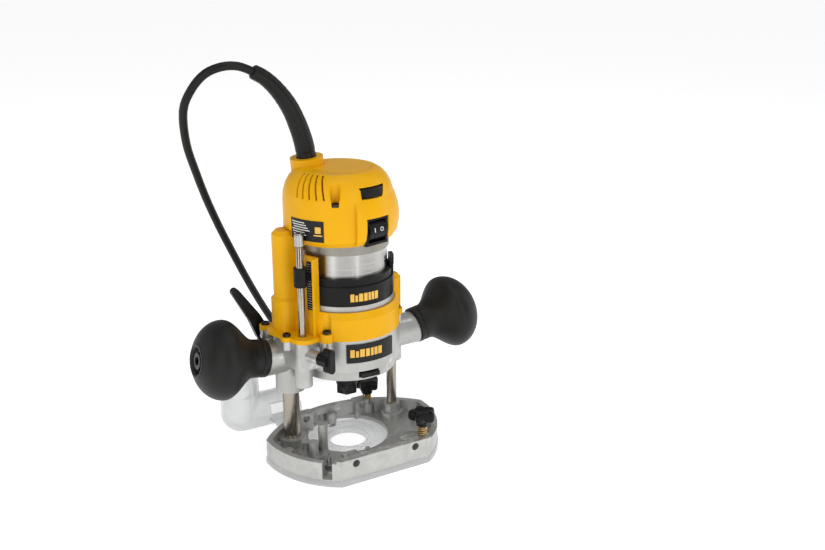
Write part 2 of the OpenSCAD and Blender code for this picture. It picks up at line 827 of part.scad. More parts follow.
module cap_housing() {
  color(yellow)
    union() {
      difference() {
        cap_solid();
        // cavity, leaving bosses for the screws and a pocket over the left tower
        difference() {
          translate([cap_p[0], cap_p[1], cap_z]) rotate_extrude($fn = 96) cap_profile(cap_wall);
          for (a = cap_screw_at)
            at_cap_screw(a) translate([0, 0, cap_z]) cylinder(r = 5.6, h = 60);
          lobe(left_column, tower_r + 2.8, cap_z, tower_top_z + 3.6);
        }
        translate([0, 0, cap_z - 1]) cylinder(r = sleeve_bore_r, h = 8);
        // recess for the top panel
        difference() {
          translate([cap_p[0] + 3, cap_p[1], panel_z]) cylinder(r = 24.2, h = 8);
          cord_axis() cylinder(r = cord_tower_r, h = 60);
        }
        // window over the speed dial
        translate([dial_p[0] - 9, -60, dial_z - 0.8]) cube([18, 36, 8.6]);
        translate([dial_p[0], dial_p[1], dial_z - 0.8]) cylinder(r = dial_r + 0.5, h = 8.6);
        // opening for the switch
        switch_frame()
          translate([-switch_half, -switch_half, -30]) cube([2 * switch_half, 2 * switch_half, 60]);
        // vents at the left and at the right rear
        for (a = [194:8:226])
          vent_slot(a);
        for (a = [14:8:46])
          vent_slot(a);
        // channels and holes for the cap screws
        for (a = cap_screw_at)
          at_cap_screw(a) {
            translate([0, 0, cap_screw_z]) cylinder(r = cap_groove_r, h = 40);
            translate([0, 0, cap_screw_z - 27]) cylinder(r = small_screw_r, h = 40);
          }
        // the cord's way in
        cord_axis() translate([0, 0, -10]) cylinder(r = 8, h = 60);
        // room for the left column tower
        lobe(left_column, tower_r + 0.5, 180, tower_top_z + 1.2);
      }
      // post the speed dial turns on
      translate([dial_p[0], dial_p[1], dial_z - 5]) cylinder(r = dial_post_r - running_gap, h = 19);
    }
}

module cap_top_panel() {
  color(yellow)
    difference() {
      translate([cap_p[0] + 3, cap_p[1], panel_z]) cylinder(r = 24, h = 2);
      cord_axis() cylinder(r = cord_tower_r + 0.2, h = 60);
    }
}

module cap_screws() {
  color(black)
    for (a = cap_screw_at)
      at_cap_screw(a) translate([0, 0, cap_screw_z]) screw(cap_head_r, 2.4, small_screw_r, 20);
}

module rating_plate() {
  color(black)
    translate([cap_p[0], cap_p[1], 0]) arc_bar(cap_r + 0.5, cap_r, cap_z + 5.5, cap_z + 22, 188, 228);
}

module speed_dial() {
  color(black)
    translate([dial_p[0], dial_p[1], dial_z])
      difference() {
        cylinder(r = dial_r, h = 7);
        translate([0, 0, -1]) cylinder(r = dial_post_r, h = 9);
      }
}

module switch_frame() {
  translate([cap_p[0], cap_p[1], switch_z]) rotate([0, 0, switch_angle]) translate([cap_r + 2.6, 0, 0])
    rotate([0, 90, 0]) rotate([0, 0, 90]) children();
}

module switch_bezel() {
  color(black)
    switch_frame()
      difference() {
        translate([-switch_half, -switch_half, -22]) cube([2 * switch_half, 2 * switch_half, 21]);
        translate([-8.6, -8.6, -12]) cube([17.2, 17.2, 30]);
      }
}

module switch_rocker() {
  color(black)
    switch_frame()
      translate([0, 0, rocker_pivot]) rotate([rocker_rest, 0, 0])
        intersection() {
          translate([-8.2, -7.6, -1.6]) cube([16.4, 15.2, 12]);
          translate([-8.2, 0, 0]) rotate([0, 90, 0]) cylinder(r = 8.3, h = 16.4);
        }
}

module stator() {
  color([0.3, 0.3, 0.32]) tube(32.3, 20.6, 98, 150);
}

module armature() {
  color([0.7, 0.4, 0.2])
    union() {
      tube(20, 5, 100, 148);
      tube(6.5, 5, 96, 178);
      tube(11, 5, 160, 176);
    }
}

module cooling_fan() {
  color(black)
    union() {
      tube(29, 5, fan_z, fan_z + 2);
      tube(9, 5, fan_z, fan_z + 11);
      for (a = [0:24:336])
        rotate([0, 0, a]) translate([8, -0.8, fan_z + 1]) cube([20, 1.6, 9]);
    }
}

module spindle_shaft() {
  color(steel)
    difference() {
      union() {
        translate([0, 0, shaft_z]) cylinder(r = 7.5, h = nose_top_z - shaft_z);
        translate([0, 0, 81]) cylinder(r = 5, h = 123);
      }
      translate([0, 0, 55]) cylinder(r = collet_body_r, h = 17);
    }
}

module collet() {
  color(steel)
    difference() {
      translate([0, 0, collet_z]) cylinder(r = collet_body_r, h = 24);
      translate([0, 0, 40]) cylinder(r = collet_r, h = 29);
      translate([-0.3, -10, 60]) cube([0.6, 20, 10]);
    }
}

module collet_nut() {
  color(black)
    difference() {
      union() {
        translate([0, 0, collet_z + 0.7]) hex(16, 8);
        translate([0, 0, 55]) cylinder(r = 9, h = 4);
      }
      translate([0, 0, 40]) cylinder(r = collet_body_r + 0.1, h = 30);
    }
}

module spindle_lock_button() {
  color(black)
    translate([-8, -43, button_z]) cube([16, 10.4, 3.8]);
}

module lower_bearing() {
  color(steel) tube(9.4, 7.5 + running_gap, nose_z, 81);
}

// ---------- cord ----------

boot_radii = [7.9, 7.9, 7.7, 7.4, 7, 6.4, 5.9, 5.6];
function smooth_radii(r, steps) = concat(
  [for (i = [0:len(r) - 2]) for (s = [0:steps - 1]) r[i] + (r[i + 1] - r[i]) * s / steps],
  [r[len(r) - 1]]);

module cord_boot() {
  color(black) swept(smooth(boot_route, 3), smooth_radii(boot_radii, 3), 20);
}

module cord() {
  path = smooth(cord_route, 2);
  color(black) swept(path, [for (p = path) cord_d / 2], 10);
}

module cord_coil() {
  color(black)
    translate([coil_p[0], coil_p[1], 0])
      union() {
        tube(coil_r + coil_half, coil_r - coil_half, 0.1, coil_h + 0.2);
        arc_bar(coil_r + cord_d / 2, coil_r - cord_d / 2, coil_h, coil_h + cord_d, 90, 170);
      }
}

module plug() {
  color(black)
    translate([coil_p[0], coil_p[1], coil_h + 0.3]) rotate([0, 0, 170])
      union() {
        translate([coil_r - 12, 0.2, 0]) cube([24, 34, 16]);
        for (dx = [-9.5, 9.5])
          translate([coil_r + dx, 34, 8]) rotate([-90, 0, 0]) cylinder(r = 2.4, h = 19);
      }
}

sub_base();
sub_base_screws();
base_casting();
base_notch_bolt();
column_left();
column_right();
guide_knob_front();
guide_knob_rear();
knob_spring_front();
knob_spring_rear();
turret();
turret_pivot();
dust_chute();
dust_chute_screw();
carriage_casting();
bush_left();
bush_right();
return_spring();
column_cover();
cover_screws();
depth_scale();
front_badge();
handle_left();
handle_right();
handle_bolt_left();
handle_bolt_right();
plunge_lock_lever();
lever_bolt();
clamp_lever();
clamp_bolt();
depth_rod();
rod_knob();
rod_pointer();
depth_lock_knob();
motor_sleeve();
motor_nose();
neck_ring();
adjusting_ring();
ring_tab_front();
ring_tab_rear();
cap_housing();
cap_top_panel();
cap_screws();
rating_plate();
speed_dial();
switch_bezel();
switch_rocker();
stator();
armature();
cooling_fan();
spindle_shaft();
collet();
collet_nut();
spindle_lock_button();
lower_bearing();
cord_boot();
cord();
cord_coil();
plug();
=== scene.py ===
"""Looks of the compact trim router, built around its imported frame.

Metres, in the frame's own axes: the spindle axis at the underside of the base is the origin,
+Z runs up the spindle, +X towards the right handle and -Y towards the straight front edge.
"""
import json
import math

import bmesh
import bpy
from mathutils import Matrix, Vector


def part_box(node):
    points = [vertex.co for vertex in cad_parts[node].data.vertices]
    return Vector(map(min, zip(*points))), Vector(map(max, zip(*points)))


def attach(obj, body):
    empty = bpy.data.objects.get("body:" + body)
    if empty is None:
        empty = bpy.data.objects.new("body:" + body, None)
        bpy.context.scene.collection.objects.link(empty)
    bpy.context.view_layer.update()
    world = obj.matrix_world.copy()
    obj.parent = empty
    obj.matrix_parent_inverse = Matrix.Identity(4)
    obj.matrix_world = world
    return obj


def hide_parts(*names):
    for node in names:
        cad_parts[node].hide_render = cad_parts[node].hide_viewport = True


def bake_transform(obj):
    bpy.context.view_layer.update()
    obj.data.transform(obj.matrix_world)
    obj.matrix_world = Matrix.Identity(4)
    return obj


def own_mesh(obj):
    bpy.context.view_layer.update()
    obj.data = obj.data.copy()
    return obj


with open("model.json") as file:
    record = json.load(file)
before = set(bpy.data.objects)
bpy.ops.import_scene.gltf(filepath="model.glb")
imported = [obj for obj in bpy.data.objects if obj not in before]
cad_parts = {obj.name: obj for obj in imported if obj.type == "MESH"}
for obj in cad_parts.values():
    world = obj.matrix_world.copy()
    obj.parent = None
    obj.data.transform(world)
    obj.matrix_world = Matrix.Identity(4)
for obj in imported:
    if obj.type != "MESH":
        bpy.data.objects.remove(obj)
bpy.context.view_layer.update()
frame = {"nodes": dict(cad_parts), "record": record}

MM = 0.001
BODY_OF = {node: body for body, nodes in frame["record"]["behaviour"]["bodies"].items() for node in nodes}
SLOT_OF = {part["node"]: part["material_slot"] for part in frame["record"]["subparts"]}

# places of the CAD pieces that the details below sit on, in millimetres and degrees
COLUMN_X = 47.5
COLUMN_Y = 8
SPRING_LOW = 26
SPRING_HIGH = 189
HANDLE_START_X = 69
HANDLE_Z = 89
HANDLE_LEAN = 80
COVER_Z = 109
ROD_P = (-47.3, -18.02)
CAP_CENTRE = (-3, 2)
CAP_SCREW_ANGLES = (240, 60)
CAP_SCREW_R = 40.2
CAP_SCREW_Z = 217
DIAL_P = (4, -26.3)
SWITCH_ANGLE = -77
SWITCH_R = 46.4
SWITCH_Z = 196
ROCKER_PIVOT = -7.4
ROCKER_REST = -10
PLUG_ANGLE = 170
RING_R = 39.6
SCALE_R = 43.0
PLATE_R = 44.3
BADGE_R = 45.2

# ---------- camera ----------

CAMERA_TARGET = Vector((47.0, -28.3, 149.4)) * MM
CAMERA_AZIMUTH = math.radians(-31.03)
CAMERA_ELEVATION = math.radians(18.74)
CAMERA_DISTANCE = 850 * MM
CAMERA_LENS = 46.0


def make_camera():
    data = bpy.data.cameras.new("camera")
    data.lens = CAMERA_LENS
    data.sensor_width = 36.0
    data.clip_start = 0.01
    data.clip_end = 20.0
    camera = bpy.data.objects.new("camera", data)
    bpy.context.scene.collection.objects.link(camera)
    back = Vector((math.sin(CAMERA_AZIMUTH) * math.cos(CAMERA_ELEVATION),
                   -math.cos(CAMERA_AZIMUTH) * math.cos(CAMERA_ELEVATION),
                   math.sin(CAMERA_ELEVATION)))
    right = Vector((math.cos(CAMERA_AZIMUTH), math.sin(CAMERA_AZIMUTH), 0))
    turn = Matrix((right, back.cross(right), back)).transposed().to_4x4()
    camera.matrix_world = Matrix.Translation(CAMERA_TARGET + back * CAMERA_DISTANCE) @ turn
    bpy.context.scene.camera = camera


make_camera()

# ---------- materials ----------


class Shader:
    """A Principled material with its noise textures laid out in the object's own coordinates."""

    def __init__(self, name, **sockets):
        self.material = bpy.data.materials.new(name)
        self.material.use_nodes = True
        self.tree = self.material.node_tree
        self.surface = self.tree.nodes["Principled BSDF"]
        for socket, value in sockets.items():
            self.surface.inputs[socket.replace("_", " ")].default_value = value
        self.coords = self.tree.nodes.new("ShaderNodeTexCoord").outputs["Object"]

    def node(self, kind, links=(), **values):
        node = self.tree.nodes.new(kind)
        for key, value in values.items():
            setattr(node, key, value)
        for socket, source in dict(links).items():
            if isinstance(source, bpy.types.NodeSocket):
                self.tree.links.new(source, node.inputs[socket])
            else:
                node.inputs[socket].default_value = source
        return node

    def noise(self, scale, detail=3.0, stretch=(1, 1, 1)):
        mapping = self.node("ShaderNodeMapping", {"Vector": self.coords, "Scale": stretch})
        return self.node("ShaderNodeTexNoise", {"Vector": mapping.outputs[0], "Scale": scale,
                                                "Detail": detail}).outputs["Fac"]

    def spread(self, source, low, high, start=0.3, end=0.7):
        return self.node("ShaderNodeMapRange", {"Value": source, "From Min": start, "From Max": end,
                                                "To Min": low, "To Max": high}).outputs[0]

    def mix(self, factor, first, second):
        mixer = self.node("ShaderNodeMix", {0: factor, 6: first, 7: second}, data_type="RGBA")
        return mixer.outputs[2]

    def link(self, source, socket):
        self.tree.links.new(source, self.surface.inputs[socket])

    def bump(self, source, strength, depth_mm):
        return self.node("ShaderNodeBump", {"Height": source, "Strength": strength,
                                            "Distance": depth_mm * MM}).outputs[0]

    def paint_edge_highlight(self, colour, highlight_colour, start=0.53, end=0.6):
        """Mixes a painted highlight colour onto convex edges, broken up by noise."""
        edge_highlight = self.spread(self.node("ShaderNodeNewGeometry").outputs["Pointiness"], 0, 1, start, end)
        patchy = self.spread(self.noise(220, 4), 0, 1, 0.42, 0.62)
        highlight_mask = self.node("ShaderNodeMath", {0: edge_highlight, 1: patchy}, operation="MULTIPLY").outputs[0]
        return self.mix(highlight_mask, colour, highlight_colour)


def shade(colour, factor):
    return (*[min(1.0, c * factor) for c in colour], 1)


def surface_material(name, colour, roughness, metallic=0.0, variation=0.08, blotch=45, grain=1400, strength=0.3,
                     depth=0.05, rough_spread=0.06, stretch=(1, 1, 1), edge_highlight=None, turned=0, **sockets):
    """A cloudy colour over a fine grain, with a painted highlight colour on convex edges if one is given; turned
    stretches highlights.
    """
    shader = Shader(name, Metallic=metallic, **sockets)
    cloud = shader.noise(blotch, 4)
    tint = shader.mix(shader.spread(cloud, 0, 1), shade(colour, 1 - variation), shade(colour, 1 + variation))
    # painted highlight: a lighter colour on convex edges
    if edge_highlight:
        tint = shader.paint_edge_highlight(tint, (*edge_highlight, 1))
    shader.link(tint, "Base Color")
    texture = shader.noise(grain, 3, stretch)
    shader.link(shader.spread(texture, roughness - rough_spread, roughness + rough_spread), "Roughness")
    shader.link(shader.bump(texture, strength, depth), "Normal")
    if turned:
        shader.surface.inputs["Anisotropic"].default_value = turned
        shader.surface.inputs["Anisotropic Rotation"].default_value = 0.25
        shader.link(shader.node("ShaderNodeTangent", direction_type="RADIAL", axis="Z").outputs[0], "Tangent")
    return shader.material


AROUND_Z = (0.02, 0.02, 1)
ALONG_Z = (1, 1, 0.02)

YELLOW = surface_material("yellow_plastic", (0.80, 0.405, 0.002), 0.36, variation=0.03, grain=2600, strength=0.22,
                          depth=0.03, Specular_IOR_Level=0.16)
# the edge colours given below are painted highlights on convex edges
CAST = surface_material("cast_alloy", (0.46, 0.46, 0.445), 0.40, metallic=0.7, variation=0.09, blotch=60,
                        grain=1700, strength=0.5, depth=0.06, edge_highlight=(0.72, 0.72, 0.7), Specular_IOR_Level=0.35)
TURNED = surface_material("turned_alloy", (0.43, 0.425, 0.41), 0.3, metallic=1.0, variation=0.12, blotch=14,
                          grain=900, strength=0.22, depth=0.03, rough_spread=0.08, stretch=AROUND_Z, turned=0.8)
NECK = surface_material("neck_alloy", (0.27, 0.26, 0.23), 0.36, metallic=0.9, grain=1200, stretch=AROUND_Z)
STEEL = surface_material("ground_steel", (0.36, 0.325, 0.275), 0.2, metallic=1.0, variation=0.07, blotch=25,
                         grain=1500, strength=0.12, depth=0.02, rough_spread=0.08, stretch=AROUND_Z, turned=0.6)
BRIGHT_STEEL = surface_material("bright_steel", (0.45, 0.45, 0.44), 0.24, metallic=1.0, grain=1100, strength=0.15,
                                depth=0.02, rough_spread=0.08)
BRASS = surface_material("spring_brass", (0.62, 0.42, 0.16), 0.28, metallic=1.0, variation=0.15, grain=900,
                         strength=0.15, depth=0.02)
BLACK = surface_material("black_plastic", (0.007, 0.007, 0.007), 0.36, variation=0.2, grain=2400, strength=0.35,
                         depth=0.04, edge_highlight=(0.03, 0.03, 0.03), Specular_IOR_Level=0.16)
RUBBER = surface_material("handle_rubber", (0.009, 0.009, 0.0085), 0.46, variation=0.25, blotch=30, grain=2800,
                          strength=0.45, depth=0.05, edge_highlight=(0.02, 0.02, 0.02), Specular_IOR_Level=0.25)
CORD_RUBBER = surface_material("cord_rubber", (0.008, 0.008, 0.0075), 0.4, variation=0.2, grain=1800,
                               strength=0.3, depth=0.04, Specular_IOR_Level=0.2)
OXIDE = surface_material("black_oxide_steel", (0.016, 0.016, 0.017), 0.32, metallic=0.8, variation=0.2,
                         grain=1500, strength=0.2, depth=0.02, edge_highlight=(0.1, 0.1, 0.1))
FILM = surface_material("label_film", (0.008, 0.008, 0.008), 0.3, variation=0.1, grain=500, strength=0.05,
                        depth=0.01, Specular_IOR_Level=0.25)
PRINT_YELLOW = surface_material("print_yellow", (0.78, 0.45, 0.06), 0.4, grain=900, strength=0.1, depth=0.01)
PRINT_WHITE = surface_material("print_white", (0.75, 0.75, 0.72), 0.4, grain=900, strength=0.1, depth=0.01)
CORE = surface_material("laminated_core", (0.12, 0.12, 0.125), 0.45, metallic=0.6, grain=1600, strength=0.6,
                        depth=0.1, stretch=AROUND_Z)
COPPER = surface_material("wound_copper", (0.5, 0.2, 0.07), 0.35, metallic=0.9, grain=900, strength=0.6,
                          depth=0.15, stretch=ALONG_Z)


def clear_material():
    """Moulded clear plastic: see-through face on, paler and more solid at glancing angles."""
    shader = Shader("clear_plastic", IOR=1.46, Base_Color=(0.66, 0.68, 0.68, 1), Transmission_Weight=0.6,
                    Specular_IOR_Level=0.6)
    shader.link(shader.spread(shader.noise(300, 3), 0.05, 0.16), "Roughness")
    shader.link(shader.bump(shader.noise(90, 2), 0.25, 0.3), "Normal")
    glancing = shader.node("ShaderNodeLayerWeight", {"Blend": 0.35}).outputs["Facing"]
    shader.link(shader.spread(glancing, 0.34, 0.86, 0.1, 0.95), "Alpha")
    return shader.material


CLEAR = clear_material()
# nodes whose finish differs from their slot's
FINISH_OF = {"turret": CAST, "turret_pivot": BLACK}
MATERIALS = {"clear_plastic": CLEAR, "cast_alloy": CAST, "sleeve_alloy": TURNED, "neck_alloy": NECK,
             "steel": STEEL, "brass": BRASS, "black_plastic": BLACK, "label_black": FILM, "black_steel": OXIDE,
             "handle_black": RUBBER, "yellow_plastic": YELLOW, "motor_core": CORE, "copper": COPPER,
             "cord_rubber": CORD_RUBBER}

# ---------- mesh helpers ----------


def new_object(name, mesh, material):
    piece = bpy.data.objects.new(name, mesh)
    bpy.context.scene.collection.objects.link(piece)
    mesh.materials.clear()
    mesh.materials.append(material)
    return piece


def finish_mesh(bm, name, material, sharp_degrees=35):
    bmesh.ops.recalc_face_normals(bm, faces=bm.faces)
    mesh = bpy.data.meshes.new(name)
    bm.to_mesh(mesh)
    bm.free()
    mesh.shade_smooth()
    mesh.set_sharp_from_angle(angle=math.radians(sharp_degrees))
    return new_object(name, mesh, material)


def loft_into(bm, rings, closed=False):
    """Joins rings of equally many points; the ends are capped unless the rings close on themselves."""
    rows = [[bm.verts.new(point) for point in ring] for ring in rings]
    count = len(rows[0])
    pairs = list(zip(rows, rows[1:]))
    if closed:
        pairs.append((rows[-1], rows[0]))
    for low, high in pairs:
        for i in range(count):
            j = (i + 1) % count
            bm.faces.new((low[i], low[j], high[j], high[i]))
    if not closed:
        bm.faces.new(list(reversed(rows[0])))
        bm.faces.new(rows[-1])


def loft(name, rings, material, sharp_degrees=35, closed=False):
    bm = bmesh.new()
    loft_into(bm, rings, closed)
    return finish_mesh(bm, name, material, sharp_degrees)


def circle(radius, height, sides=48, shape=None):
    """One ring about Z; shape(angle) scales the radius."""
    ring = []
    for i in range(sides):
        angle = math.tau * i / sides
        r = radius * (shape(angle) if shape else 1)
        ring.append(Vector((r * math.cos(angle), r * math.sin(angle), height)))
    return ring


def placed(rings, matrix):
    return [[matrix @ point for point in ring] for ring in rings]


def lathe(name, profile, material, matrix, sides, sharp_degrees=35):
    """A turned piece from (radius, height) pairs in millimetres."""
    rings = [circle(r * MM, h * MM, sides) for r, h in profile]
    return loft(name, placed(rings, matrix), material, sharp_degrees)


def along(points, radius_at, sides=14):
    """Rings round a route, carried along it without twist."""
    rings = []
    side = None
    for i, point in enumerate(points):
        heading = (points[min(i + 1, len(points) - 1)] - points[max(i - 1, 0)]).normalized()
        if side is None:
            side = heading.orthogonal()
        side = (side - heading * side.dot(heading)).normalized()
        other = heading.cross(side)
        r = radius_at(i / (len(points) - 1))
        rings.append([point + r * (math.cos(math.tau * k / sides) * side + math.sin(math.tau * k / sides) * other)
                      for k in range(sides)])
    return rings


def smooth_route(points, steps):
    """A smooth line through the points, with steps stretches in each span."""
    route = []
    for i in range(len(points) - 1):
        a, b, c, d = (points[max(i - 1, 0)], points[i], points[i + 1], points[min(i + 2, len(points) - 1)])
        for k in range(steps):
            t = k / steps
            route.append(0.5 * (2 * b + (c - a) * t + (2 * a - 5 * b + 4 * c - d) * t * t
                                + (3 * b - a - 3 * c + d) * t ** 3))
    return route + [points[-1]]


def bar(name, corner_low, corner_high, material, matrix, bevel):
    """A block with rounded edges, in millimetres."""
    bm = bmesh.new()
    bmesh.ops.create_cube(bm, size=1)
    low, high = Vector(corner_low), Vector(corner_high)
    for vert in bm.verts:
        vert.co = Vector([low[k] + (vert.co[k] + 0.5) * (high[k] - low[k]) for k in range(3)])
    bmesh.ops.bevel(bm, geom=bm.edges, offset=bevel, segments=3, profile=0.5, affect="EDGES")
    bm.transform(matrix @ Matrix.Scale(MM, 4))
    return finish_mesh(bm, name, material, 40)


def patch(name, centre, radius, z_range, angles, material, thickness):
    """A thin printed mark on an upright round wall; millimetres and degrees."""
    steps = max(2, int(abs(angles[1] - angles[0]) / 2) + 1)
    rings = []
    for k in range(steps + 1):
        angle = math.radians(angles[0] + (angles[1] - angles[0]) * k / steps)
        ring = []
        for r, z in ((radius, z_range[0]), (radius + thickness, z_range[0]),
                     (radius + thickness, z_range[1]), (radius, z_range[1])):
            ring.append(Vector((centre[0] + r * math.cos(angle), centre[1] + r * math.sin(angle), z)) * MM)
        rings.append(ring)
    return loft(name, rings, material)


def joined(name, pieces):
    """Several pieces of one material as one object."""
    bm = bmesh.new()
    for piece in pieces:
        bm.from_mesh(piece.data)
    material = pieces[0].data.materials[0]
    for piece in pieces:
        bpy.data.objects.remove(piece, do_unlink=True)
    mesh = bpy.data.meshes.new(name)
    bm.to_mesh(mesh)
    bm.free()
    return new_object(name, mesh, material)


def stands_for(piece, *nodes):
    """Hides the CAD nodes and rides the piece on their body."""
    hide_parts(*nodes)
    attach(piece, BODY_OF[nodes[0]])
    return piece


def detail(piece, body, slot):
    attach(piece, body)
    return piece


# ---------- cord ----------

CORD_RADIUS = 3.3 * MM
CORD_ROUTE = [Vector(p) * MM for p in (
    (-62, 22, 314), (-73, 22.4, 318.4), (-85, 24.2, 318.6), (-96.6, 28.8, 313.6), (-105, 36, 302),
    (-109, 46, 285), (-104, 59, 258), (-95, 68, 233), (-84, 77, 206),
    (-71, 86, 178), (-57, 94, 150), (-42, 102, 121), (-26, 109, 92), (-9, 115, 64.5),
    (10, 119.5, 40), (30, 122.5, 20), (46, 122.4, 9.5), (57.5, 120.6, 5.2), (69, 119.8, 3.8))]
COIL_CENTRE = Vector((82, 163, 0)) * MM
COIL_MEAN = 39.7 * MM
COIL_HALF_GAP = 3.35 * MM
COIL_INNER = COIL_MEAN - COIL_HALF_GAP
COIL_OUTER = COIL_MEAN + COIL_HALF_GAP
COIL_LAYER = 6.65 * MM
COIL_FLOOR = 3.4 * MM
COIL_START = -90
COIL_TURNS = 7
COIL_END = PLUG_ANGLE + COIL_TURNS * 360
COIL_STEP = 6
SWAP_SPAN = 45
SWAPS = 8


def rise(t):
    t = max(0.0, min(1.0, t))
    return t * t * (3 - 2 * t)


def ease(t):
    """Like rise, with the gentlest bends."""
    return 0.5 - 0.5 * math.cos(math.pi * max(0.0, min(1.0, t)))


def coil_points():
    """Turns lie two abreast. Each turn ends in a short swap: across to the other track, or up one layer."""
    points = []
    for angle in range(COIL_START + COIL_STEP, COIL_END + 1, COIL_STEP):
        across, layer = 0.0, 0.0
        for k in range(SWAPS):
            begins = COIL_START + 360 * (k + 1) - SWAP_SPAN * (k + 1)
            done = ease((angle - begins) / SWAP_SPAN)
            if k % 2:
                layer += done
            else:
                across += done if k % 4 == 0 else -done
        radius = COIL_OUTER + (COIL_INNER - COIL_OUTER) * across
        last = ease((angle - (COIL_START + 360 * SWAPS - SWAP_SPAN * SWAPS)) / SWAP_SPAN)
        radius += (COIL_MEAN - radius) * last
        a = math.radians(angle)
        points.append(COIL_CENTRE + Vector((radius * math.cos(a), radius * math.sin(a),
                                            COIL_FLOOR + layer * COIL_LAYER)))
    return points


cord_line = smooth_route(CORD_ROUTE + coil_points()[:1], 4) + coil_points()[1:]
cord = loft("power_cord", along(cord_line, lambda t: CORD_RADIUS, 12), CORD_RUBBER, 60)
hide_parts("cord", "cord_coil")
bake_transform(cord)


PLUG_AXIS_Z = 8
PIN_OFFSET = 9.5


def make_plug():
    floor_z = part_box("plug")[0][2]
    a = math.radians(PLUG_ANGLE)
    radial = Vector((math.cos(a), math.sin(a), 0))
    tangent = Vector((-math.sin(a), math.cos(a), 0))
    seat = COIL_CENTRE + radial * COIL_MEAN + Vector((0, 0, floor_z))
    turn = Matrix((tangent, radial * -1, Vector((0, 0, 1)))).transposed().to_4x4()
    place = Matrix.Translation(seat) @ turn @ Matrix.Scale(MM, 4)
    bm = bmesh.new()

    def outline(x, half_w, half_h, sides=32):
        ring = []
        for i in range(sides):
            t = math.tau * i / sides
            c, s = math.cos(t), math.sin(t)
            y = half_w * math.copysign(abs(c) ** 0.45, c)
            z = PLUG_AXIS_Z + half_h * math.copysign(abs(s) ** 0.45, s)
            ring.append(place @ Vector((x, y, z)))
        return ring

    shape = [(0.4, 4.6, 4.2), (1.2, 5.2, 4.8), (3, 5.3, 5), (5, 6.4, 5.6), (9, 9.4, 7.2), (13, 10.4, 7.7),
             (15, 9.9, 7.3), (17, 9.9, 7.3), (19, 11, 7.8), (26, 11.6, 7.8), (31, 11.7, 7.8), (32.6, 11.6, 7.6),
             (33.6, 10.8, 7)]
    loft_into(bm, [outline(*row) for row in shape])
    body = finish_mesh(bm, "plug_body", BLACK, 50)
    pins = []
    for side in (-PIN_OFFSET, PIN_OFFSET):
        turn_x = Matrix.Translation((33, side, PLUG_AXIS_Z)) @ Matrix.Rotation(math.radians(90), 4, "Y")
        pin = loft("pin", placed([circle(r, h, 20) for r, h in ((2.3, 0), (2.3, 17.4), (2.0, 18.8), (1.2, 19.6))],
                                 place @ turn_x), BRIGHT_STEEL)
        pins.append(pin)
    return body, joined("plug_pins", pins)


plug, plug_pins = make_plug()
stands_for(plug, "plug")
detail(plug_pins, "base", "steel")

# ---------- CAD nodes with softened edges ----------


EDGE_ANGLE = 30


def refine(node, bevel):
    """A welded copy of a CAD node with softened edges, which stands for it."""
    mesh = frame["nodes"][node].data.copy()
    bm = bmesh.new()
    bm.from_mesh(mesh)
    bmesh.ops.remove_doubles(bm, verts=bm.verts, dist=2e-6)
    bmesh.ops.dissolve_limit(bm, angle_limit=math.radians(0.4), verts=bm.verts, edges=bm.edges)
    bm.to_mesh(mesh)
    bm.free()
    mesh.shade_smooth()
    mesh.set_sharp_from_angle(angle=math.radians(EDGE_ANGLE))
    piece = new_object(node + "_fine", mesh, FINISH_OF.get(node, MATERIALS[SLOT_OF[node]]))
    soft = piece.modifiers.new("soft_edges", "BEVEL")
    soft.width = bevel * MM
    soft.segments = 2
    soft.limit_method = "ANGLE"
    soft.angle_limit = math.radians(EDGE_ANGLE)
    soft.harden_normals = True
    return stands_for(piece, node)


# width of each node's softened edges, in millimetres
REFINED = {"base_casting": 0.7, "carriage_casting": 0.6, "column_cover": 0.5, "cap_housing": 0.4,
           "cap_top_panel": 0.5, "sub_base": 0.3, "dust_chute": 0.4, "motor_sleeve": 0.3, "neck_ring": 0.4,
           "adjusting_ring": 0.35, "ring_tab_front": 0.5, "ring_tab_rear": 0.5, "turret": 0.5, "rod_pointer": 0.5,
           "depth_lock_knob": 0.8, "plunge_lock_lever": 1.0, "clamp_lever": 1.0, "collet_nut": 0.4,
           "switch_bezel": 0.4, "switch_rocker": 0.5, "spindle_lock_button": 0.4, "column_left": 0.3,
           "column_right": 0.3, "front_badge": 0.3, "rating_plate": 0.15, "rod_knob": 0.4,
           "turret_pivot": 0.4, "lever_bolt": 0.3, "clamp_bolt": 0.3, "motor_nose": 0.3}
for node_name, width in REFINED.items():
    refine(node_name, width)

# ---------- turned, threaded and moulded details ----------


def shift(x, y, z):
    return Matrix.Translation(Vector((x, y, z)) * MM)


def turn(axis, degrees):
    return Matrix.Rotation(math.radians(degrees), 4, axis)


def hexagon(angle):
    """Scales a circle to the hexagon inside it."""
    return math.cos(math.radians(30)) / math.cos(angle % math.radians(60) - math.radians(30))


def socket_screw(name, matrix, head_r, head_h, socket_r, shank_r, shank_l, material=OXIDE):
    """A cap screw with a hexagon socket, its head standing on the matrix's own XY plane."""
    lip = 0.12 * head_r
    rows = [(shank_r * 0.8, -shank_l), (shank_r, 0.4 - shank_l), (shank_r, -0.01), (head_r - lip, 0),
            (head_r, lip), (head_r, head_h - lip), (head_r - 0.3 * lip, head_h - 0.3 * lip),
            (head_r - lip, head_h), (socket_r * 1.12, head_h)]
    rings = [circle(r * MM, h * MM, 48) for r, h in rows]
    depth = min(0.7 * head_h, 0.9 * socket_r)
    for r, h in ((socket_r, head_h - 0.1 * socket_r), (socket_r * 0.98, head_h - depth),
                 (0.2 * socket_r, head_h - depth * 1.1)):
        rings.append(circle(r * MM, h * MM, 48, hexagon))
    return loft(name, placed(rings, matrix), material, 30)


THREAD_ROWS = 8
THREAD_SIDES = 24
SPRING_STEPS = 28


